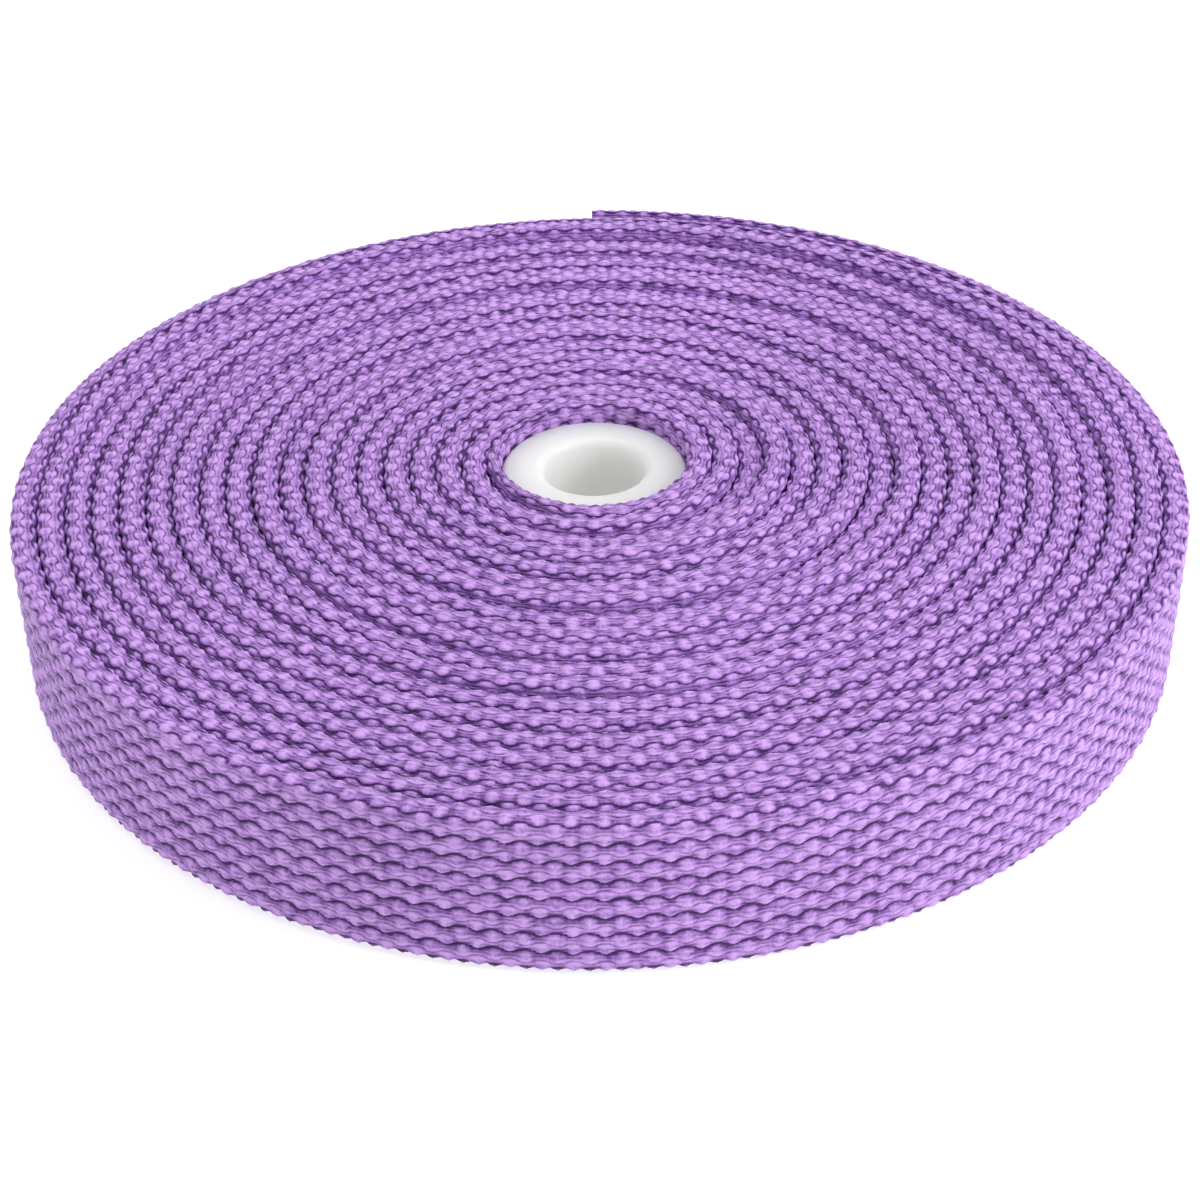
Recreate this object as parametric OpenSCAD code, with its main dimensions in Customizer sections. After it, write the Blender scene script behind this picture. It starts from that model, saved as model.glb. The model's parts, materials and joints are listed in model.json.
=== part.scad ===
// A roll of flat woven webbing: one long strip wound edge-up on a short tube, with its
// outer half turn free to peel off. The roll lies flat: Z is the axis of the core, and
// the origin is on that axis at the level of the table.
//
// Right-hand half turns are concentric with the core. Left-hand half turns are centred
// half a pitch towards -Y, so each pair of half turns steps out by exactly one pitch and
// meets the next pair smoothly. This two-centre spiral keeps every face a true cylinder.

/* [Webbing] */
// Width of the webbing, which is the height of the roll
web_width = 25; // [15:1:50]
// Thickness of the webbing
web_thickness = 3.8; // [1.5:0.1:6]
// Air between one turn and the next
turn_gap = 0.25; // [0.2:0.05:0.6]
// Whole turns wound on the core under the loose end
full_turns = 18; // [4:1:24]

/* [Core] */
// Outer diameter of the core tube
core_diameter = 29; // [20:0.5:76]
// Diameter of the hole through the core
core_bore = 16; // [6:0.5:24]
// How far the core's top rim lies below the webbing's top edge
core_recess = 2.5; // [0:0.5:4]

/* [Starter tape] */
// Thickness of the tape that holds the strip's inner end to the core
tape_thickness = 0.15; // [0.05:0.01:0.4]
// Bare core left below the tape and above it
tape_margin = 3.75; // [0:0.25:5]
// Angle of the core that the tape covers, in degrees
tape_arc = 70; // [20:5:160]
// Air on each side of the tape
tape_gap = 0.05; // [0.02:0.01:0.2]

/* [Loose end] */
// Number of links that stand in for the bending of the outer half turn
end_links = 12; // [4:1:18]

/* [Hidden] */
$fn = 180;
half_turn = 180;
front = -90;                  // where each right-hand half turn starts, in degrees from +X
back = 90;                    // where each left-hand half turn starts
core_radius = core_diameter / 2;
core_height = web_width - core_recess;
pitch = web_thickness + turn_gap;
winding_r = core_radius + tape_thickness + 2 * tape_gap;  // inner face of the first turn
end_r = winding_r + full_turns * pitch;                   // inner face of the loose end
link_arc = half_turn / end_links;
tape_width = core_height - 2 * tape_margin;

function link_name(i) = str("webbing_end_", i < 10 ? "0" : "", i);

// A stretch of upright strip bent to one radius.
module bent_strip(inner, thickness, width, start, arc)
    rotate_extrude(angle = arc, start = start)
        translate([inner, 0])
            square([thickness, width]);

module core()
    color("white")
        difference() {
            cylinder(h = core_height, r = core_radius);
            translate([0, 0, -1])
                cylinder(h = core_height + 2, r = core_bore / 2);
        }

module starter_tape()
    color("lightyellow")
        translate([0, 0, tape_margin])
            bent_strip(core_radius + tape_gap, tape_thickness, tape_width, front, tape_arc);

module winding_turn(inner) {
    bent_strip(inner, web_thickness, web_width, front, half_turn);
    translate([0, -pitch / 2, 0])
        bent_strip(inner + pitch / 2, web_thickness, web_width, back, half_turn);
}

module webbing_winding()
    color("mediumpurple")
        for (turn = [0 : full_turns - 1])
            winding_turn(winding_r + turn * pitch);

module webbing_end(i)
    color("mediumpurple")
        bent_strip(end_r, web_thickness, web_width, front + (i - 1) * link_arc, link_arc);

core();
starter_tape();
webbing_winding();
for (i = [1 : end_links])
    webbing_end(i);
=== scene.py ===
"""A roll of chunky woven webbing on a small white core; the outer half turn is cut into pieces at the
loose end's links.
"""

import json
import math

import bmesh
import bpy
import numpy as np
from bpy.props import FloatProperty, FloatVectorProperty, IntProperty, PointerProperty
from mathutils import Matrix, Vector

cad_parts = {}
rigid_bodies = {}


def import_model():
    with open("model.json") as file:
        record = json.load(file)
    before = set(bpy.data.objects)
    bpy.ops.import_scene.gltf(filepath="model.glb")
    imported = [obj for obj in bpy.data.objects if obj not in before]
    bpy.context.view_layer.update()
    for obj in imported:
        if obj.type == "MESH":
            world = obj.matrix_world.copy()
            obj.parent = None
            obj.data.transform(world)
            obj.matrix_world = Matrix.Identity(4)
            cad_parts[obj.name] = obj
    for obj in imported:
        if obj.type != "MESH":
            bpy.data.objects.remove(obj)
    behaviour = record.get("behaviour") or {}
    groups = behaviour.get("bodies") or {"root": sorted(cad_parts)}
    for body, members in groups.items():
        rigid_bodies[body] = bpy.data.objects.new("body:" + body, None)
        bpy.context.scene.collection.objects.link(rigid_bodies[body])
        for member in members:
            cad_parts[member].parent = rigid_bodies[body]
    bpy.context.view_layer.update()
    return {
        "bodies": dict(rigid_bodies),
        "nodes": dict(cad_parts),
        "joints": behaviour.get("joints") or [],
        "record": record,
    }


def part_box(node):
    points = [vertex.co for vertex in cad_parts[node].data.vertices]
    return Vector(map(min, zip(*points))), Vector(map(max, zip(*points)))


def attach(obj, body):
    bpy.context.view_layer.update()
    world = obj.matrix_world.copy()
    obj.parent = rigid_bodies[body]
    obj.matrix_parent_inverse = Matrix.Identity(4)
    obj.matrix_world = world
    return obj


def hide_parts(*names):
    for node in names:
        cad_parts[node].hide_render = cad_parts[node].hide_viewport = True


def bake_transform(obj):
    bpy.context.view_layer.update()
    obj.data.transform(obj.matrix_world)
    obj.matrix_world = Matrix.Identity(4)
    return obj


bl_info = {
    "name": "Webbing roll",
    "version": (1, 0, 0),
    "blender": (4, 5, 0),
    "location": "View3D > Sidebar > Webbing roll",
    "description": "Winds a strip of woven webbing on a core and sets up its stage",
    "category": "Object",
}

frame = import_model()
record = frame["record"]

# ---- sizes that the frame gives -------------------------------------------------------------
CORE_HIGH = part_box("core")[1]
CORE_RADIUS = CORE_HIGH.x
CORE_HEIGHT = CORE_HIGH.z
BORE_RADIUS = record["mounts"][0]["dims"]["r_mm"] / 1000
WINDING_LOW, WINDING_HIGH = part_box("webbing_winding")
WIDTH = WINDING_HIGH.z
LINKS = sum(1 for body in frame["bodies"] if body.startswith("loose_end_"))
OUTER_RADIUS = math.hypot(*frame["joints"][0]["pos_m"][:2])
LINK_ARC = frame["joints"][0]["range_deg"][1]
# Link 07 starts on the X axis, so the least X in its box is at its inner face's other end.
END_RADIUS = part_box("webbing_end_07")[0].x / math.cos(math.radians(LINK_ARC))
THICKNESS = OUTER_RADIUS - END_RADIUS
GAP = END_RADIUS - WINDING_HIGH.y
PITCH = THICKNESS + GAP
FULL_TURNS = int((END_RADIUS - CORE_RADIUS) / PITCH)
WINDING_RADIUS = END_RADIUS - FULL_TURNS * PITCH

# ---- how the strip is laid out --------------------------------------------------------------
FACE_ENDS = 16          # warp ends across each face of the webbing
SELVEDGE_ENDS = 2       # warp ends across each edge
AROUND = 2 * (FACE_ENDS + SELVEDGE_ENDS)
SIDE_STARTS = (0, FACE_ENDS, FACE_ENDS + SELVEDGE_ENDS, 2 * FACE_ENDS + SELVEDGE_ENDS)
RINGS_PER_PICK = 8
MOST_TRIANGLES = 190_000
CORNER = 0.00045        # rounding of the strip's corners
SLACK = 0.00004         # air left between the plain stretches of neighbouring turns
FACE_STEP = 0.25        # warp ends from one point of a fine face to the next
EDGE_STEP = 0.2         # the same along the top edge
RIDGE_ROUNDNESS = 0.62  # power of the sine across a warp end; lower is flatter on top
GROOVE_SPREAD = 0.22    # width of the groove between pairs, as a share of a warp end
COURSE_STEP = 0.25      # degrees from one sample of the strip's course to the next

# The inner end, in degrees before the front of the core.
TUCKED = 150            # where the pressed end begins
CRESCENT_AT = 48        # middle of the crescent that it leaves open
CRESCENT_REACH = 30
CRESCENT_DEPTH = 0.5    # as a share of the strip's thickness

# Waves of the winding: how many in each turn, their phase and their weight or height.
PRESSED_WAVES = ((1.37, 0.4, 1.0), (0.61, 2.1, 1.0), (2.83, 5.0, 0.8))
MOST_PRESSED = 0.85
PROUD_WAVES = ((0.37, 0.0, 0.0004), (0.61, 2.1, 0.0003), (1.43, 4.0, 0.00025))
REAR_RISE = 0.0008      # how much prouder the last turns stand at the back
RIM_SLOPE = 0.5         # how far the outermost turn's top edge leans out at the back

HORIZON = 1.05          # strength of the sky where it meets the floor
FLOOR_GLOW = 0.72       # light that the floor gives off
FLOOR_REACH = 40        # from the roll to each edge of the floor, in metres


# ---- settings -------------------------------------------------------------------------------
class WebbingSettings(bpy.types.PropertyGroup):
    """Sizes and colours of the woven strip"""

    pick_pitch: FloatProperty(
        name="Pick pitch", description="Length of strip from one crown of a warp end to the next",
        default=0.0041, min=0.001, unit="LENGTH", precision=5)
    relief: FloatProperty(
        name="Relief", description="Height of a crown above the valley beside it",
        default=0.00037, min=0, unit="LENGTH", precision=5)
    edge_relief: FloatProperty(
        name="Edge relief", description="How much stronger the relief is along the selvedges",
        default=0.85, min=0)
    pair_groove: FloatProperty(
        name="Pair groove", description="Extra depth of the groove after every second warp end",
        default=0.00035, min=0, unit="LENGTH", precision=5)
    sway: FloatProperty(
        name="Sway", description="How far the grooves wave from side to side, in warp ends",
        default=0.24, min=0, max=0.5)
    swing: FloatProperty(
        name="Swing", description="How far the waist between two crowns sinks",
        default=0.38, min=0, max=1)
    weft_swell: FloatProperty(
        name="Weft swell", description="How much the weft swells the waist between two crowns",
        default=0.3, min=0, max=1)
    middle_groove: FloatProperty(
        name="Middle groove", description="Depth of the groove inside a pair, against that beside it",
        default=0.35, min=0, max=1)
    unevenness: FloatProperty(
        name="Unevenness", description="How much the crowns differ from each other",
        default=0.6, min=0, max=1)
    seed: IntProperty(name="Seed", description="Which pattern of uneven crowns", default=4)
    # The valley and flank colours are painted shade: darker, more saturated lilacs laid into the
    # grooves and onto the crowns' sides; the crown colour is the yarn's own.
    valley: FloatVectorProperty(
        name="Valley colour", description="Yarn deep in a groove", subtype="COLOR",
        default=(0.088, 0.032, 0.172), min=0, max=1)
    flank: FloatVectorProperty(
        name="Flank colour", description="Yarn on the side of a crown", subtype="COLOR",
        default=(0.370, 0.185, 0.580), min=0, max=1)
    crown: FloatVectorProperty(
        name="Crown colour", description="Yarn on top of a crown", subtype="COLOR",
        default=(0.655, 0.385, 0.875), min=0, max=1)


class CoreSettings(bpy.types.PropertyGroup):
    """Finish of the core and the starter tape"""

    colour: FloatVectorProperty(
        name="Core colour", description="Moulded plastic of the core", subtype="COLOR",
        default=(0.89, 0.89, 0.85), min=0, max=1)
    bevel: FloatProperty(
        name="Rim radius", description="Rounding of the core's rims", default=0.0011,
        min=0.0001, unit="LENGTH", precision=5)
    tape_colour: FloatVectorProperty(
        name="Tape colour", description="Film of the starter tape", subtype="COLOR",
        default=(0.85, 0.80, 0.60), min=0, max=1)


class StageSettings(bpy.types.PropertyGroup):
    """Light and floor"""

    floor_colour: FloatVectorProperty(
        name="Floor colour", description="The table and what is behind it", subtype="COLOR",
        default=(0.45, 0.45, 0.45), min=0, max=1)
    sky: FloatProperty(
        name="Soft light", description="Strength of the light from all round", default=0.45, min=0)
    key: FloatProperty(
        name="Key light", description="Power of the main light, in watts", default=5, min=0)
    top: FloatProperty(
        name="Top light", description="Power of the light overhead, in watts", default=6, min=0)


# ---- small helpers --------------------------------------------------------------------------
def add_node(tree, kind, values=(), **settings):
    """A node with its settings, and its inputs set or linked by name or number."""
    node = tree.nodes.new(kind)
    for name, value in settings.items():
        setattr(node, name, value)
    for key, value in dict(values).items():
        if isinstance(value, bpy.types.NodeSocket):
            tree.links.new(value, node.inputs[key])
        else:
            node.inputs[key].default_value = value
    return node


def maths(tree, operation, *values):
    """The result of a Math node."""
    node = add_node(tree, "ShaderNodeMath", dict(enumerate(values)), operation=operation)
    return node.outputs[0]


def vector_maths(tree, operation, *values):
    """The result of a Vector Math node."""
    node = add_node(tree, "ShaderNodeVectorMath", operation=operation)
    for key, value in enumerate(values):
        socket = node.inputs["Scale"] if operation == "SCALE" and key == 1 else node.inputs[key]
        if isinstance(value, bpy.types.NodeSocket):
            tree.links.new(value, socket)
        else:
            socket.default_value = value
    return node.outputs[0]


def show(obj):
    """Puts an object in the scene."""
    bpy.context.scene.collection.objects.link(obj)
    return obj


def face_out(mesh):
    """Turns the mesh's faces outwards if they point in."""
    shell = bmesh.new()
    shell.from_mesh(mesh)
    if shell.calc_volume(signed=True) < 0:
        bmesh.ops.reverse_faces(shell, faces=shell.faces)
        shell.to_mesh(mesh)
    shell.free()


# ---- the strip's course ---------------------------------------------------------------------
def smooth(x):
    """A smooth step from 0 to 1."""
    x = np.clip(x, 0, 1)
    return x * x * (3 - 2 * x)


def waver(turn, waves):
    """A sum of waves along the winding, which is measured in turns."""
    return sum(weight * np.sin(2 * math.pi * turn * number + phase)
               for number, phase, weight in waves)


def wound_point(turned):
    """The strip's middle line after it has turned so many degrees from the front of the core.

    Right-hand half turns are centred on the core, left-hand ones half a pitch towards the
    front, so that every whole turn steps out by one pitch."""
    half = np.floor(np.maximum(turned, 0) / 180).astype(int)
    turn = half // 2
    left = half % 2
    angle = np.radians(turned - 90)
    radius = WINDING_RADIUS + turn * PITCH + THICKNESS / 2 + left * PITCH / 2
    return np.stack([radius * np.cos(angle), radius * np.sin(angle) - left * PITCH / 2], 1)


def strip_course(pick_pitch):
    """The rings that the strip is made of, RINGS_PER_PICK to a pick.

    The inner end is pressed thin where it is tucked under the first turn, and leaves a
    crescent open there that closes towards the table."""
    last = 360 * FULL_TURNS + LINKS * LINK_ARC
    turned = np.arange(-TUCKED, last + 0.01, COURSE_STEP)
    line = wound_point(turned)
    inner_end = turned < 0
    wedge = PITCH / THICKNESS * (1 + np.cos(np.radians(turned))) / 2
    filled = np.where(inner_end, np.minimum(1, 0.97 * wedge), 1.0)
    crescent = CRESCENT_DEPTH * smooth(1.6 - np.abs(turned + CRESCENT_AT) / CRESCENT_REACH)
    starting = filled * (1 - crescent)
    line[inner_end] *= ((WINDING_RADIUS + THICKNESS * starting[inner_end] / 2)
                        / np.hypot(*line[inner_end].T))[:, None]
    run = np.concatenate([[0], np.cumsum(np.hypot(*np.diff(line, axis=0).T))])
    rings = int(run[-1] / (pick_pitch / RINGS_PER_PICK))
    along = np.arange(rings + 1) * run[-1] / rings
    at = np.interp(along, run, turned)
    centre = np.stack([np.interp(along, run, line[:, axis]) for axis in (0, 1)], 1)
    heading = np.gradient(centre, axis=0)
    heading /= np.hypot(*heading.T)[:, None]
    heading = np.stack([np.convolve(np.pad(heading[:, k], 3, "edge"), np.ones(7) / 7, "valid")
                        for k in (0, 1)], 1)
    heading /= np.hypot(*heading.T)[:, None]
    outermost = smooth((at / 360 - FULL_TURNS + 0.85) * 4)
    behind = smooth(1.15 - np.abs((at / 360) % 1 - 0.5) * 3.2)
    return {
        "at": at,
        "along": along,
        "centre": centre,
        "outward": np.stack([heading[:, 1], -heading[:, 0]], 1),
        "proud": proud_at(at),
        "pressed": pressed_at(at),
        "slope": RIM_SLOPE * outermost * behind,
        "thick": np.interp(at, turned, starting),
        "foot": np.interp(at, turned, 2 * filled - starting),
    }


def pressed_at(turned):
    """Where the turns press so tightly that no groove shows between them, from 0 to 1."""
    return MOST_PRESSED * smooth(waver(turned / 360, PRESSED_WAVES) * 0.55 + 0.25)


def proud_at(turned):
    """How far the strip's top edge stands above or below the roll's top, in metres."""
    turn = turned / 360
    last_turns = smooth((turn - FULL_TURNS + 3) / 2)
    behind = 0.5 - 0.5 * np.cos(2 * math.pi * turn)
    return waver(turn, PROUD_WAVES) * smooth(turned / 90) + REAR_RISE * last_turns * behind


# ---- the strip's cross-section --------------------------------------------------------------
def section_point(end, depth, edge_depth):
    """Where a warp end lies on the strip's cross-section, and which way it faces there.

    The sides are numbered outer face, top edge, inner face and bottom edge. Each one has
    half a rounded corner at either end."""
    half_thick = PITCH / 2 - depth
    low, high = edge_depth, WIDTH - edge_depth
    side = sum(end >= start for start in SIDE_STARTS[1:])
    count = (FACE_ENDS, SELVEDGE_ENDS)[side % 2]
    length = (high - low, 2 * half_thick)[side % 2] - 2 * CORNER
    arc = math.pi * CORNER / 4
    run = (end - SIDE_STARTS[side]) / count * (length + 2 * arc)
    if run < arc:
        lean, move = run / CORNER - math.pi / 4, 0.0
    elif run > arc + length:
        lean, move = (run - arc - length) / CORNER, length
    else:
        lean, move = 0.0, run - arc
    across = CORNER * math.sin(lean)
    out = CORNER * math.cos(lean)
    x, z = half_thick - CORNER + out, low + CORNER + move + across
    facing = (math.cos(lean), math.sin(lean))
    if side == 1:
        x, z = half_thick - CORNER - move - across, high - CORNER + out
        facing = (-math.sin(lean), math.cos(lean))
    if side == 2:
        x, z = -(half_thick - CORNER + out), high - CORNER - move - across
        facing = (-math.cos(lean), -math.sin(lean))
    if side == 3:
        x, z = -(half_thick - CORNER) + move + across, low + CORNER - out
        facing = (math.sin(lean), -math.cos(lean))
    return x, z, facing


def section(name, fine_outer, fine_inner, settings):
    """The closed cross-section as a mesh loop; only the named stretches of the faces are fine."""
    top = SIDE_STARTS[2]
    last = SIDE_STARTS[3]
    fine_out = FACE_ENDS - fine_outer
    ends = list(np.linspace(0, fine_out, 4)[:-1]) if fine_out > 0 else []
    ends += list(np.arange(fine_out, FACE_ENDS, FACE_STEP))
    ends += list(np.arange(FACE_ENDS, top, EDGE_STEP))
    ends += list(np.arange(top, top + fine_inner, FACE_STEP))
    if fine_inner < FACE_ENDS:
        ends += list(np.linspace(top + fine_inner, last, 4)[:-1])
    fine_foot = fine_outer == FACE_ENDS
    ends += list(np.arange(last, AROUND, FACE_STEP if fine_foot else 1.0))
    depth = settings.relief
    edge_depth = settings.relief * settings.edge_relief
    rows = {key: [] for key in ("across", "height", "face_out", "face_up", "end_no", "weave",
                                "dash")}
    for end in ends:
        on_edge = FACE_ENDS <= end <= top or (end >= last and fine_foot)
        on_fine = fine_out <= end < top + fine_inner or (fine_foot and end >= last)
        x, z, facing = section_point(end, depth if on_fine else SLACK, edge_depth)
        weave = settings.edge_relief if on_edge else 1.0
        if FACE_ENDS < end < top:  # the edge's outer end stands prouder than its inner one
            weave *= 1.3 if end <= FACE_ENDS + 1 else 0.6
        if end == 0 and fine_foot:
            weave = 1.0
        rows["across"].append(x)
        rows["height"].append(z / WIDTH)
        rows["face_out"].append(facing[0])
        rows["face_up"].append(facing[1])
        rows["end_no"].append(end)
        rows["weave"].append(weave if on_fine else 0.0)
        rows["dash"].append(max(0.0, 1 - abs(end - FACE_ENDS)))
    count = len(ends)
    mesh = bpy.data.meshes.new(name)
    mesh.from_pydata([(x, -h * WIDTH, 0) for x, h in zip(rows["across"], rows["height"])],
                     [(i, (i + 1) % count) for i in range(count)], [])
    for key, values in rows.items():
        mesh.attributes.new(key, "FLOAT", "POINT").data.foreach_set(
            "value", np.array(values, np.float32))
    return show(bpy.data.objects.new(name, mesh))


# ---- the weave, as a node tree --------------------------------------------------------------
def weave_tree(settings):
    """Sweeps the cross-section along the strip's course and raises the woven crowns."""
    tree = bpy.data.node_groups.new("Woven strip", "GeometryNodeTree")
    sockets = tree.interface
    sockets.new_socket("Geometry", in_out="INPUT", socket_type="NodeSocketGeometry")
    sockets.new_socket("Section", in_out="INPUT", socket_type="NodeSocketObject")
    for label, value in (("Pick Pitch", settings.pick_pitch), ("Relief", settings.relief),
                         ("Pair Groove", settings.pair_groove), ("Sway", settings.sway),
                         ("Swing", settings.swing), ("Weft Swell", settings.weft_swell),
                         ("Middle Groove", settings.middle_groove),
                         ("Unevenness", settings.unevenness),
                         ("Seed", float(settings.seed)), ("Width", WIDTH)):
        socket = sockets.new_socket(label, in_out="INPUT", socket_type="NodeSocketFloat")
        socket.default_value = value
    sockets.new_socket("Material", in_out="INPUT", socket_type="NodeSocketMaterial")
    sockets.new_socket("Geometry", in_out="OUTPUT", socket_type="NodeSocketGeometry")
    given = tree.nodes.new("NodeGroupInput").outputs

    def attribute(name, kind="FLOAT"):
        node = add_node(tree, "GeometryNodeInputNamedAttribute", {"Name": name}, data_type=kind)
        return node.outputs["Attribute"]

    def calc(operation, *values):
        return maths(tree, operation, *values)

    loop = add_node(tree, "GeometryNodeObjectInfo", {"Object": given["Section"]})
    loop_curve = add_node(tree, "GeometryNodeMeshToCurve", {"Mesh": loop.outputs["Geometry"]})
    course = add_node(tree, "GeometryNodeMeshToCurve", {"Mesh": given["Geometry"]})
    swept = add_node(tree, "GeometryNodeCurveToMesh", {
        "Curve": course.outputs[0], "Profile Curve": loop_curve.outputs[0], "Fill Caps": True})

    # where each point stands before the weave is raised
    outward = attribute("outward", "FLOAT_VECTOR")
    height = attribute("height")
    proud = attribute("proud")
    narrowing = calc("SUBTRACT", attribute("thick"), attribute("foot"))
    thick = calc("MULTIPLY_ADD", narrowing, height, attribute("foot"))
    reach = calc("MULTIPLY", attribute("across"), thick)
    lifted = calc("MULTIPLY_ADD", height, given["Width"], calc("MAXIMUM", proud, 0.0))
    sunk = calc("MULTIPLY", calc("MINIMUM", proud, 0.0), height)
    lean = calc("MULTIPLY", calc("MULTIPLY", attribute("across"), height), attribute("slope"))
    level = calc("SUBTRACT", calc("ADD", lifted, sunk), lean)
    level = add_node(tree, "ShaderNodeCombineXYZ", {"Z": level}).outputs[0]
    stand = vector_maths(tree, "ADD", vector_maths(tree, "SCALE", outward, reach), level)
    stand = vector_maths(tree, "ADD", stand, attribute("centre", "FLOAT_VECTOR"))

    # the weave: neighbouring warp ends crown half a pick apart, and their grooves sway
    end_no = attribute("end_no")
    picks = calc("DIVIDE", attribute("along"), given["Pick Pitch"])
    wave = calc("COSINE", calc("MULTIPLY", picks, 2 * math.pi))
    stagger = calc("MULTIPLY", calc("COSINE", calc("MULTIPLY", end_no, math.pi)), wave)
    swayed = calc("MULTIPLY_ADD", stagger, given["Sway"], end_no)
    across_end = calc("SINE", calc("MULTIPLY", swayed, math.pi))
    ridge = calc("POWER", calc("ABSOLUTE", across_end), RIDGE_ROUNDNESS)
    beside = calc("MULTIPLY_ADD", calc("COSINE", calc("MULTIPLY", swayed, math.pi)), 0.5, 0.5)
    share = calc("MULTIPLY_ADD", beside, calc("SUBTRACT", 1.0, given["Middle Groove"]),
                 given["Middle Groove"])
    ridge = calc("SUBTRACT", 1.0, calc("MULTIPLY", calc("SUBTRACT", 1.0, ridge), share))
    crowning = calc("MULTIPLY", calc("SIGN", across_end), wave)
    twice = calc("MULTIPLY_ADD", calc("MULTIPLY", wave, wave), 2.0, -1.0)
    lens = calc("MULTIPLY_ADD", crowning, given["Swing"], 1.0)
    lens = calc("MULTIPLY_ADD", twice, given["Weft Swell"], lens)
    lens = calc("DIVIDE", lens, calc("ADD", calc("ADD", given["Swing"], given["Weft Swell"]), 1.0))
    bulge = calc("MULTIPLY", ridge, lens)
    pair = calc("MULTIPLY", swayed, 0.5)
    from_pair = calc("MULTIPLY", calc("ABSOLUTE", calc("SUBTRACT", pair, calc("ROUND", pair))), 2.0)
    from_pair = calc("DIVIDE", from_pair, GROOVE_SPREAD)
    in_groove = calc("EXPONENT", calc("MULTIPLY", calc("POWER", from_pair, 2.0), -1.0))
    dash = attribute("dash")
    # at the outer corner the gap's groove is deepest under each crown; through the crown value below,
    # this also paints shade in dashes beneath the crowns
    between = calc("MULTIPLY", dash, calc("MULTIPLY_ADD", wave, -0.3, 0.65))
    in_groove = calc("MULTIPLY", in_groove, calc("SUBTRACT", 1.0, between))
    pressed = calc("MULTIPLY", calc("MINIMUM", calc("MULTIPLY", dash, 2.0), 1.0),
                   attribute("pressed"))
    in_groove = calc("MULTIPLY", in_groove, calc("SUBTRACT", 1.0, pressed))
    place = add_node(tree, "ShaderNodeCombineXYZ", {
        "X": calc("MULTIPLY", picks, 0.9), "Y": calc("MULTIPLY", swayed, 0.8),
        "Z": given["Seed"]}).outputs[0]
    noise = add_node(tree, "ShaderNodeTexNoise", {"Vector": place, "Scale": 1.0, "Detail": 2.0})
    uneven = calc("SUBTRACT", noise.outputs[0], 0.5)
    uneven = calc("MULTIPLY_ADD", calc("MULTIPLY", uneven, given["Unevenness"]), 2.0, 1.0)
    raised = calc("MULTIPLY", calc("MULTIPLY", bulge, uneven), given["Relief"])
    raised = calc("SUBTRACT", raised, calc("MULTIPLY", in_groove, given["Pair Groove"]))
    raised = calc("MULTIPLY", raised, attribute("weave"))
    sideways = vector_maths(tree, "SCALE", outward, attribute("face_out"))
    upward = add_node(tree, "ShaderNodeCombineXYZ", {"Z": attribute("face_up")}).outputs[0]
    facing = vector_maths(tree, "ADD", sideways, upward)
    stand = vector_maths(tree, "ADD", stand, vector_maths(tree, "SCALE", facing, raised))
    shaped = add_node(tree, "GeometryNodeSetPosition", {
        "Geometry": swept.outputs[0], "Position": stand})

    # what the material reads: how much of a crown each point is, which carries painted shade. On the
    # top edge, which faces up, the valleys are painted darker and the crowns lighter than on the
    # faces, as painted light
    facing_up_for_painted_light = calc("MAXIMUM", attribute("face_up"), 0.0)
    crown = calc("MULTIPLY_ADD", bulge, calc("MULTIPLY_ADD", facing_up_for_painted_light, 0.45, 0.55),
                 calc("MULTIPLY_ADD", facing_up_for_painted_light, -0.3, 0.4))
    # painted shade: the colour is darkened in the pair grooves and in the gap at the outer corner,
    # beyond the grooves' real depth
    crown = calc("MULTIPLY_ADD", in_groove, -0.75, crown)
    shown = calc("MINIMUM", attribute("weave"), 1.0)
    crown = calc("MULTIPLY_ADD", calc("SUBTRACT", crown, 0.6), shown, 0.6)
    crown = add_node(tree, "ShaderNodeClamp", {"Value": crown}).outputs[0]
    marked = shaped
    for label, value in (("crown", crown), ("yarn", swayed)):
        marked = add_node(tree, "GeometryNodeStoreNamedAttribute", {
            "Geometry": marked.outputs[0], "Name": label, "Value": value},
            data_type="FLOAT", domain="POINT")
    smooth_faces = add_node(tree, "GeometryNodeSetShadeSmooth", {
        "Geometry": marked.outputs[0], "Shade Smooth": True})
    real = add_node(tree, "GeometryNodeRealizeInstances", {0: smooth_faces.outputs[0]})
    dressed = add_node(tree, "GeometryNodeSetMaterial", {
        "Geometry": real.outputs[0], "Material": given["Material"]})
    result = tree.nodes.new("NodeGroupOutput")
    tree.links.new(dressed.outputs[0], result.inputs["Geometry"])
    return tree


def set_input(modifier, label, value):
    """Sets a Geometry Nodes modifier's input by its socket's identifier."""
    for item in modifier.node_group.interface.items_tree:
        if item.item_type == "SOCKET" and item.in_out == "INPUT" and item.name == label:
            modifier[item.identifier] = value
            return
    raise RuntimeError(f"the tree has no input called {label}")


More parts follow.
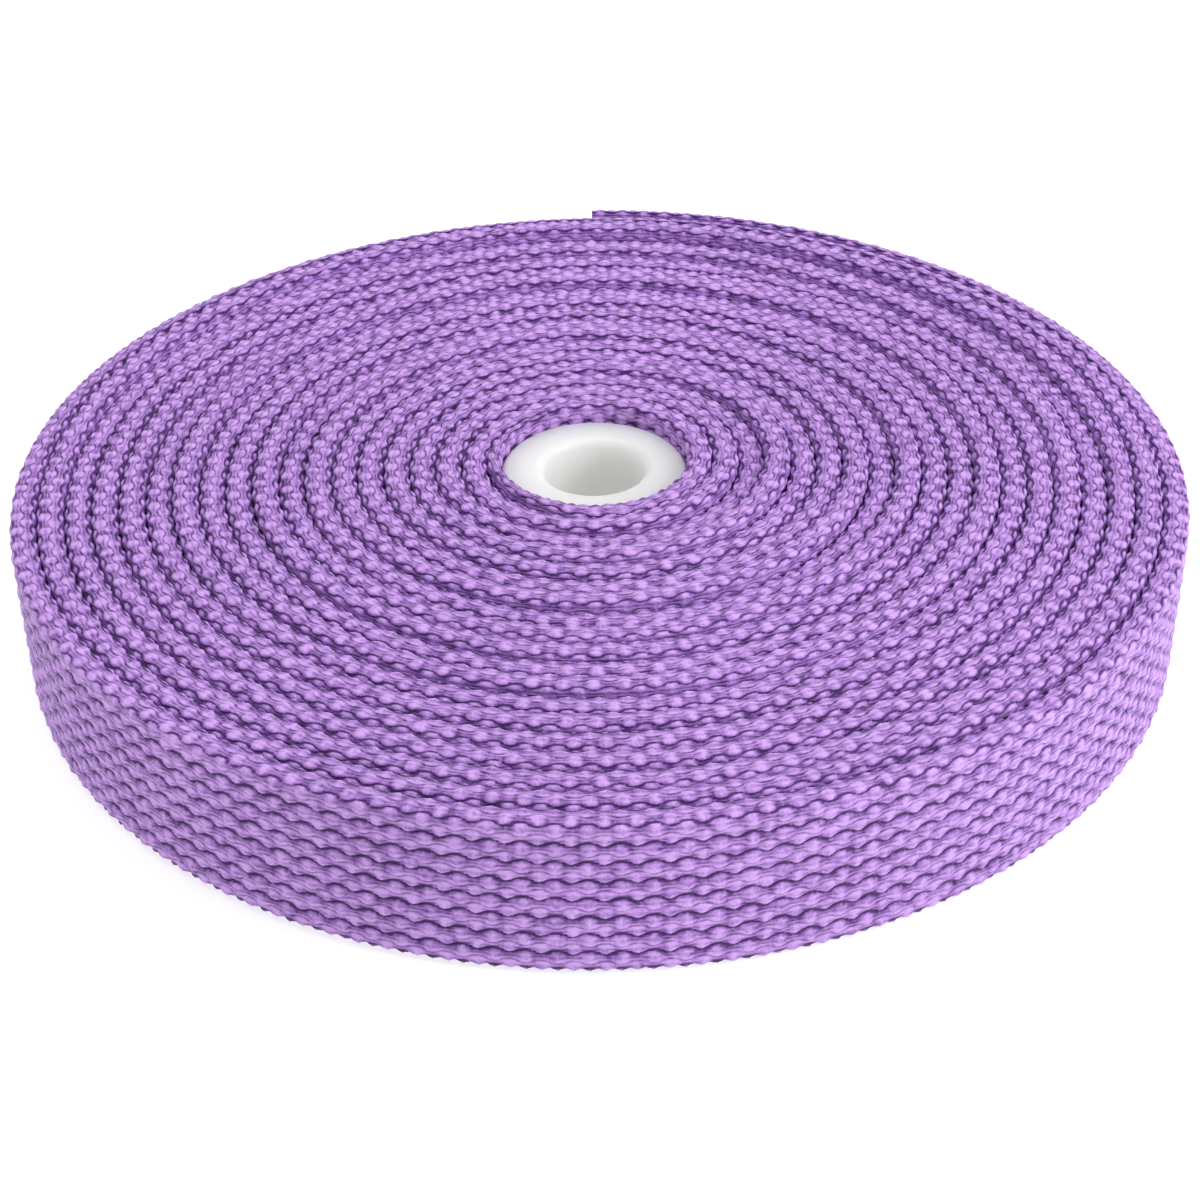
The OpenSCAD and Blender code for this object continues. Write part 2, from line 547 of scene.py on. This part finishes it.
def woven_piece(name, course, first, last, loop, tree, material):
    """One closed piece of the strip, from ring first to ring last of the course."""
    rings = slice(first, last + 1)
    centre = course["centre"][rings]
    flat = np.zeros(len(centre))
    line = bpy.data.meshes.new(name + "_course")
    line.from_pydata([(x, y, 0) for x, y in centre.tolist()],
                     [(i, i + 1) for i in range(len(centre) - 1)], [])
    for key in ("along", "proud", "thick", "foot", "pressed", "slope"):
        line.attributes.new(key, "FLOAT", "POINT").data.foreach_set(
            "value", course[key][rings].astype(np.float32))
    for key in ("centre", "outward"):
        values = np.column_stack([course[key][rings], flat]).astype(np.float32)
        line.attributes.new(key, "FLOAT_VECTOR", "POINT").data.foreach_set(
            "vector", values.ravel())
    guide = show(bpy.data.objects.new(name + "_guide", line))
    modifier = guide.modifiers.new("Woven strip", "NODES")
    modifier.node_group = tree
    set_input(modifier, "Section", loop)
    set_input(modifier, "Material", material)
    graph = bpy.context.evaluated_depsgraph_get()
    mesh = bpy.data.meshes.new_from_object(guide.evaluated_get(graph), depsgraph=graph)
    bpy.data.objects.remove(guide)
    bpy.data.meshes.remove(line)
    mesh.name = name
    for key in ("across", "height", "face_out", "face_up", "end_no", "weave", "proud", "thick",
                "foot", "centre", "outward", "dash", "pressed", "slope"):
        if key in mesh.attributes:
            mesh.attributes.remove(mesh.attributes[key])
    face_out(mesh)
    obj = show(bpy.data.objects.new(name, mesh))
    return obj


# ---- materials ------------------------------------------------------------------------------
def new_material(name):
    """An empty node material and its tree, with a shader and an output."""
    material = bpy.data.materials.new(name)
    material.use_nodes = True
    tree = material.node_tree
    tree.nodes.clear()
    shader = tree.nodes.new("ShaderNodeBsdfPrincipled")
    output = tree.nodes.new("ShaderNodeOutputMaterial")
    tree.links.new(shader.outputs[0], output.inputs["Surface"])
    return material, tree, shader


def webbing_material(settings):
    """Dyed multifilament yarn, pale and silky on the crowns, with painted shade that makes it deep in
    the grooves and between plies.
    """
    material, tree, shader = new_material("Lilac webbing")

    def read(name):
        return add_node(tree, "ShaderNodeAttribute", attribute_name=name).outputs["Fac"]

    yarn = read("yarn")
    ply_creases_and_painted_shade = maths(tree, "COSINE", maths(tree, "MULTIPLY", yarn, 4 * math.pi))
    ply_creases_and_painted_shade = maths(tree, "POWER", maths(tree, "MULTIPLY_ADD", ply_creases_and_painted_shade, 0.5, 0.5), 3.0)
    filaments_at = add_node(tree, "ShaderNodeCombineXYZ", {
        "X": maths(tree, "MULTIPLY", read("along"), 1200.0),
        "Y": maths(tree, "MULTIPLY", yarn, 3.2)}).outputs[0]
    filaments = add_node(tree, "ShaderNodeTexNoise", {
        "Vector": filaments_at, "Scale": 1.0, "Detail": 3.0, "Roughness": 0.6}).outputs[0]
    place = add_node(tree, "ShaderNodeTexCoord").outputs["Object"]
    mottle = add_node(tree, "ShaderNodeTexNoise", {
        "Vector": place, "Scale": 520.0, "Detail": 2.0}).outputs[0]
    cloud = add_node(tree, "ShaderNodeTexNoise", {
        "Vector": place, "Scale": 22.0, "Detail": 1.0}).outputs[0]
    # the crown value brings painted shade from the grooves; filament and mottle noise add the yarn's
    # own uneven tone
    yarn_tone_and_painted_shade = maths(tree, "MULTIPLY_ADD", maths(tree, "SUBTRACT", filaments, 0.5), 1.1, read("crown"))
    yarn_tone_and_painted_shade = maths(tree, "MULTIPLY_ADD", maths(tree, "SUBTRACT", mottle, 0.5), 1.2, yarn_tone_and_painted_shade)
    # painted shade in the creases between plies
    yarn_tone_and_painted_shade = maths(tree, "MULTIPLY_ADD", ply_creases_and_painted_shade, -0.28, yarn_tone_and_painted_shade)
    # the ramp paints shade: low values take the darker valley and flank colours, high values the
    # yarn's own crown colour
    ramp = add_node(tree, "ShaderNodeValToRGB", {"Fac": yarn_tone_and_painted_shade})
    stops = ramp.color_ramp.elements
    stops[0].position, stops[0].color = 0.06, (*settings.valley, 1)
    stops[1].position, stops[1].color = 0.86, (*settings.crown, 1)
    middle = stops.new(0.42)
    middle.color = (*settings.flank, 1)
    shade = maths(tree, "MULTIPLY_ADD", maths(tree, "SUBTRACT", cloud, 0.5), 0.22, 1.0)
    colour = vector_maths(tree, "SCALE", ramp.outputs["Color"], shade)
    tree.links.new(colour, shader.inputs["Base Color"])
    rough = maths(tree, "MULTIPLY_ADD", filaments, 0.3, 0.38)
    tree.links.new(rough, shader.inputs["Roughness"])
    height = maths(tree, "MULTIPLY_ADD", mottle, 0.5, filaments)
    height = maths(tree, "MULTIPLY_ADD", ply_creases_and_painted_shade, -0.5, height)
    bump = add_node(tree, "ShaderNodeBump", {
        "Height": height, "Strength": 0.8, "Distance": 0.0004})
    tree.links.new(bump.outputs[0], shader.inputs["Normal"])
    shader.inputs["Specular IOR Level"].default_value = 0.25
    shader.inputs["Sheen Weight"].default_value = 0.12
    shader.inputs["Sheen Roughness"].default_value = 0.4
    shader.inputs["Sheen Tint"].default_value = (0.86, 0.78, 1.0, 1)
    return material


def core_material(settings):
    """White moulded plastic with a fine satin skin."""
    material, tree, shader = new_material("White core plastic")
    place = add_node(tree, "ShaderNodeTexCoord").outputs["Object"]
    skin = add_node(tree, "ShaderNodeTexNoise", {
        "Vector": place, "Scale": 900.0, "Detail": 3.0}).outputs[0]
    cloud = add_node(tree, "ShaderNodeTexNoise", {
        "Vector": place, "Scale": 90.0, "Detail": 2.0}).outputs[0]
    shade = maths(tree, "MULTIPLY_ADD", maths(tree, "SUBTRACT", cloud, 0.5), 0.08, 1.0)
    colour = vector_maths(tree, "SCALE", tuple(settings.colour), shade)
    tree.links.new(colour, shader.inputs["Base Color"])
    rough = maths(tree, "MULTIPLY_ADD", skin, 0.2, 0.32)
    tree.links.new(rough, shader.inputs["Roughness"])
    bump = add_node(tree, "ShaderNodeBump", {
        "Height": skin, "Strength": 0.25, "Distance": 0.0001})
    tree.links.new(bump.outputs[0], shader.inputs["Normal"])
    shader.inputs["Subsurface Weight"].default_value = 0.85
    shader.inputs["Subsurface Radius"].default_value = (1.0, 0.95, 0.85)
    shader.inputs["Subsurface Scale"].default_value = 0.016
    return material


def tape_material(settings):
    """Glossy adhesive tape with fine stretch marks."""
    material, tree, shader = new_material("Glossy starter tape")
    place = add_node(tree, "ShaderNodeTexCoord").outputs["Object"]
    stretched = add_node(tree, "ShaderNodeMapping", {"Vector": place, "Scale": (900, 900, 120)})
    marks = add_node(tree, "ShaderNodeTexNoise", {
        "Vector": stretched.outputs[0], "Scale": 1.0, "Detail": 3.0}).outputs[0]
    shade = maths(tree, "MULTIPLY_ADD", maths(tree, "SUBTRACT", marks, 0.5), 0.12, 1.0)
    colour = vector_maths(tree, "SCALE", tuple(settings.tape_colour), shade)
    tree.links.new(colour, shader.inputs["Base Color"])
    rough = maths(tree, "MULTIPLY_ADD", marks, 0.2, 0.15)
    tree.links.new(rough, shader.inputs["Roughness"])
    bump = add_node(tree, "ShaderNodeBump", {
        "Height": marks, "Strength": 0.15, "Distance": 0.00008})
    tree.links.new(bump.outputs[0], shader.inputs["Normal"])
    return material


# ---- operators ------------------------------------------------------------------------------
class ROLL_OT_core(bpy.types.Operator):
    """Turn the white core with its rounded rims"""

    bl_idname = "roll.core"
    bl_label = "Make the core"

    def execute(self, context):
        settings = context.scene.roll_core
        around, rim_steps = 160, 8
        rims = []
        wall_low, wall_high = BORE_RADIUS, CORE_RADIUS
        corners = ((wall_high, 0.0, 0.4), (wall_high, CORE_HEIGHT, 1.0),
                   (wall_low, CORE_HEIGHT, 1.35), (wall_low, 0.0, 0.4))
        for index, (x, z, scale) in enumerate(corners):
            radius = settings.bevel * scale
            cx = x - radius if x == wall_high else x + radius
            cz = z + radius if z == 0.0 else z - radius
            start = (-90, 0, 90, 180)[index]
            for step in range(rim_steps + 1):
                lean = math.radians(start + 90 * step / rim_steps)
                rims.append((cx + radius * math.cos(lean), cz + radius * math.sin(lean)))
        verts = [(x * math.cos(a), x * math.sin(a), z)
                 for a in np.linspace(0, 2 * math.pi, around, endpoint=False) for x, z in rims]
        count = len(rims)
        faces = [(i * count + j, (i + 1) % around * count + j,
                  (i + 1) % around * count + (j + 1) % count, i * count + (j + 1) % count)
                 for i in range(around) for j in range(count)]
        mesh = bpy.data.meshes.new("core_tube")
        mesh.from_pydata(verts, [], faces)
        mesh.shade_smooth()
        face_out(mesh)
        mesh.materials.append(core_material(settings))
        tube = show(bpy.data.objects.new("core_tube", mesh))
        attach(tube, "roll")
        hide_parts("core")
        return {"FINISHED"}


class ROLL_OT_tape(bpy.types.Operator):
    """Give the starter tape its glossy finish"""

    bl_idname = "roll.tape"
    bl_label = "Finish the starter tape"

    def execute(self, context):
        mesh = frame["nodes"]["starter_tape"].data
        mesh.materials.clear()
        mesh.materials.append(tape_material(context.scene.roll_core))
        return {"FINISHED"}


class ROLL_OT_winding(bpy.types.Operator):
    """Wind the webbing on the core, as pieces that butt end to end"""

    bl_idname = "roll.winding"
    bl_label = "Wind the webbing"

    def execute(self, context):
        settings = context.scene.roll_webbing
        course = strip_course(settings.pick_pitch)
        tree = weave_tree(settings)
        material = webbing_material(settings)
        plain = section("inner_section", 2, 2, settings)
        walled = section("outer_section", FACE_ENDS, 2, settings)
        root = int(np.searchsorted(course["at"], 360 * FULL_TURNS - LINK_ARC / 2))
        outer = int(np.searchsorted(course["at"], 360 * (FULL_TURNS - 1)))
        most = MOST_TRIANGLES // (2 * len(plain.data.vertices))
        pieces = math.ceil(outer / most)
        cuts = [round(outer * k / pieces) for k in range(pieces + 1)]
        for number, (first, last) in enumerate(zip(cuts, cuts[1:]), 1):
            obj = woven_piece(f"webbing_turns_{number}", course, first, last, plain, tree,
                              material)
            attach(obj, "roll")
            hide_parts("webbing_winding")
        obj = woven_piece("webbing_outer_turn", course, outer, root, walled, tree, material)
        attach(obj, "roll")
        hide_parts("webbing_winding")
        for loop in (plain, walled):
            bpy.data.objects.remove(loop)
        return {"FINISHED"}


class ROLL_OT_loose_end(bpy.types.Operator):
    """Make the outer half turn as pieces cut at the links; only the last piece is attached, to the
    outermost link.
    """

    bl_idname = "roll.loose_end"
    bl_label = "Make the loose end"

    def execute(self, context):
        settings = context.scene.roll_webbing
        course = strip_course(settings.pick_pitch)
        tree = bpy.data.node_groups["Woven strip"]
        material = bpy.data.materials["Lilac webbing"]
        loop = section("loose_section", FACE_ENDS, FACE_ENDS, settings)
        start = 360 * FULL_TURNS
        marks = [start + (k - 0.5) * LINK_ARC for k in range(LINKS + 1)]
        cuts = [int(np.searchsorted(course["at"], mark)) for mark in marks]
        cuts.append(len(course["at"]) - 1)
        bodies = ["roll"] + [f"loose_end_{k:02d}" for k in range(1, LINKS + 1)]
        for number in range(1, LINKS + 2):
            first, last = cuts[number - 1], cuts[number]
            obj = woven_piece(f"loose_strip_{number:02d}", course, first, last, loop, tree,
                              material)
            if number <= LINKS:
                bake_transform(obj)
            else:
                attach(obj, bodies[-1])
            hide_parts(f"webbing_end_{min(number, LINKS):02d}")
        bpy.data.objects.remove(loop)
        return {"FINISHED"}


class ROLL_OT_stage(bpy.types.Operator):
    """Lay the pale floor and set up the lights and the camera"""

    bl_idname = "roll.stage"
    bl_label = "Set the stage"

    def execute(self, context):
        scene = context.scene
        settings = scene.roll_stage
        scene.view_settings.view_transform = "Standard"
        scene.view_settings.look = "None"
        world = bpy.data.worlds.new("Soft white room")
        world.use_nodes = True
        tree = world.node_tree
        sky = tree.nodes["Background"]
        sky.inputs["Color"].default_value = (1, 1, 1, 1)
        way = add_node(tree, "ShaderNodeTexCoord").outputs["Generated"]
        rise = add_node(tree, "ShaderNodeSeparateXYZ", {0: way}).outputs["Z"]
        # white at the horizon, where it meets the floor, and softer overhead
        low = add_node(tree, "ShaderNodeClamp", {
            "Value": maths(tree, "MULTIPLY_ADD", rise, -4.0, 1.2)}).outputs[0]
        strength = maths(tree, "MULTIPLY_ADD", low, HORIZON - settings.sky, settings.sky)
        tree.links.new(strength, sky.inputs["Strength"])
        scene.world = world

        mesh = bpy.data.meshes.new("floor")
        reach = FLOOR_REACH
        mesh.from_pydata([(-reach, -reach, 0), (reach, -reach, 0), (reach, reach, 0),
                          (-reach, reach, 0)], [], [(0, 1, 2, 3)])
        material, _, shader = new_material("Pale floor")
        shader.inputs["Base Color"].default_value = (*settings.floor_colour, 1)
        shader.inputs["Roughness"].default_value = 0.9
        shader.inputs["Emission Color"].default_value = (1, 1, 1, 1)
        shader.inputs["Emission Strength"].default_value = FLOOR_GLOW
        mesh.materials.append(material)
        show(bpy.data.objects.new("floor", mesh))

        for name, power, place, size in (
                ("key_light", settings.key, (0.8, -0.3, 0.5), 0.4),
                ("top_light", settings.top, (-0.1, 0.1, 1.1), 0.9)):
            lamp = bpy.data.lights.new(name, "AREA")
            lamp.energy = power
            lamp.shape = "DISK"
            lamp.size = size
            light = show(bpy.data.objects.new(name, lamp))
            aim = Vector((0, 0, WIDTH)) - Vector(place)
            light.matrix_world = (Matrix.Translation(place)
                                  @ aim.to_track_quat("-Z", "Y").to_matrix().to_4x4())
        scene.camera = self.camera()
        return {"FINISHED"}

    def camera(self):
        """A long lens a third of a metre away, 30 degrees above the table.

        Angles are in radians. The camera looks at the roll's top, and is then rolled, turned
        and dipped by a little to frame it."""
        away, above, lens = 0.36187, 0.53049, 69.08
        roll, yaw, dip = 0.01238, 0.00015, 0.06418
        right = Vector((1, 0, 0))
        up = Vector((0, math.sin(above), math.cos(above)))
        ahead = Vector((0, math.cos(above), -math.sin(above)))
        right, up = (math.cos(roll) * right - math.sin(roll) * up,
                     math.sin(roll) * right + math.cos(roll) * up)
        right, ahead = (math.cos(yaw) * right + math.sin(yaw) * ahead,
                        math.cos(yaw) * ahead - math.sin(yaw) * right)
        up, ahead = (math.cos(dip) * up + math.sin(dip) * ahead,
                     math.cos(dip) * ahead - math.sin(dip) * up)
        view = bpy.data.cameras.new("camera")
        view.lens = lens
        view.sensor_width = 36
        view.clip_start = 0.01
        target = Vector(((OUTER_RADIUS + WINDING_LOW.x) / 2, 0, WIDTH))
        eye = target - away * Vector((0, math.cos(above), -math.sin(above)))
        turn = Matrix((right, up, -ahead)).transposed().to_4x4()
        obj = show(bpy.data.objects.new("camera", view))
        obj.matrix_world = Matrix.Translation(eye) @ turn
        return obj


class ROLL_PT_panel(bpy.types.Panel):
    """Lists the pieces and their settings"""

    bl_idname = "ROLL_PT_panel"
    bl_label = "Webbing roll"
    bl_space_type = "VIEW_3D"
    bl_region_type = "UI"
    bl_category = "Webbing roll"

    def draw(self, context):
        layout = self.layout
        for group in (context.scene.roll_webbing, context.scene.roll_core,
                      context.scene.roll_stage):
            box = layout.box()
            for name in group.__annotations__:
                box.prop(group, name)
        for operator in OPERATORS:
            layout.operator(operator.bl_idname)


OPERATORS = (ROLL_OT_stage, ROLL_OT_core, ROLL_OT_tape, ROLL_OT_winding, ROLL_OT_loose_end)
CLASSES = (WebbingSettings, CoreSettings, StageSettings) + OPERATORS + (ROLL_PT_panel,)


def register():
    """Registers the settings, the operators and the panel."""
    for item in CLASSES:
        bpy.utils.register_class(item)
    bpy.types.Scene.roll_webbing = PointerProperty(type=WebbingSettings)
    bpy.types.Scene.roll_core = PointerProperty(type=CoreSettings)
    bpy.types.Scene.roll_stage = PointerProperty(type=StageSettings)


def unregister():
    """Takes them out again."""
    for name in ("roll_webbing", "roll_core", "roll_stage"):
        delattr(bpy.types.Scene, name)
    for item in reversed(CLASSES):
        bpy.utils.unregister_class(item)


def main():
    """Makes every piece in order."""
    register()
    bpy.ops.roll.stage()
    bpy.ops.roll.core()
    bpy.ops.roll.tape()
    bpy.ops.roll.winding()
    bpy.ops.roll.loose_end()


if __name__ == "__main__":
    main()
